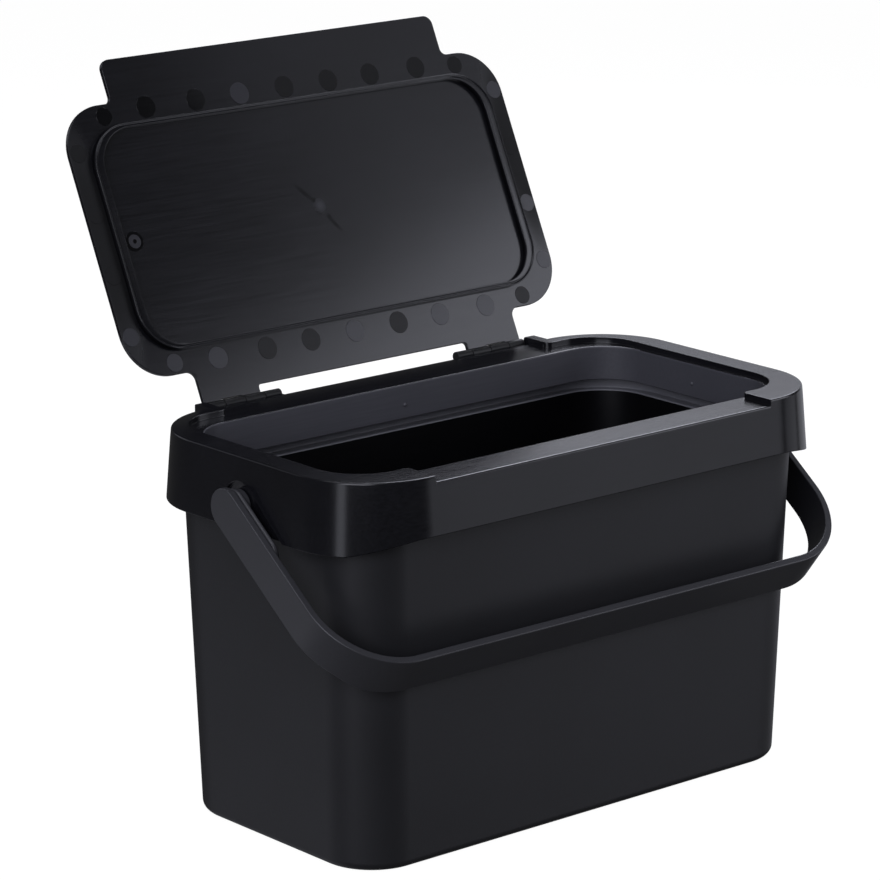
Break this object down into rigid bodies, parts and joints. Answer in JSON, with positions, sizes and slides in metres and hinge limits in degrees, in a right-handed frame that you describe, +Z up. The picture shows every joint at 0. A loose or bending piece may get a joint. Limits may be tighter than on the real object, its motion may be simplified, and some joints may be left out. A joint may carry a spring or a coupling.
{
  "type": "compost caddy",
  "caption": "Slim rectangular kitchen caddy: tapered bucket, clip-fitted collar, hinged flush lid with front tab, and a swinging strap handle.",
  "frame": {"origin": "centre of the bucket's base, on the surface it stands on", "axes": "+X along the long side, +Y to the back where the hinge is, +Z up; the front is -Y"},
  "size_m": [0.288, 0.2338, 0.3077],
  "materials": {
    "bucket_plastic": "moulded polypropylene, fine matte grain outside, smoother inside",
    "collar_plastic": "moulded polypropylene, satin",
    "lid_plastic": "moulded polypropylene, satin",
    "handle_plastic": "moulded polypropylene, satin"
  },
  "bodies": {
    "base": {"bucket": "bucket_plastic", "collar": "collar_plastic"},
    "lid": {"lid": "lid_plastic"},
    "handle": {"handle": "handle_plastic"}
  },
  "joints": [
    {"name": "lid_hinge", "type": "hinge", "parent": "base", "child": "lid", "pos_m": [0, 0.08293, 0.1656], "axis": [1, 0, 0], "range_deg": [0, 115.3]},
    {"name": "handle_pivot", "type": "hinge", "parent": "base", "child": "handle", "pos_m": [0, 0.0015, 0.148], "axis": [-1, 0, 0], "range_deg": [0, 180]}
  ]
}
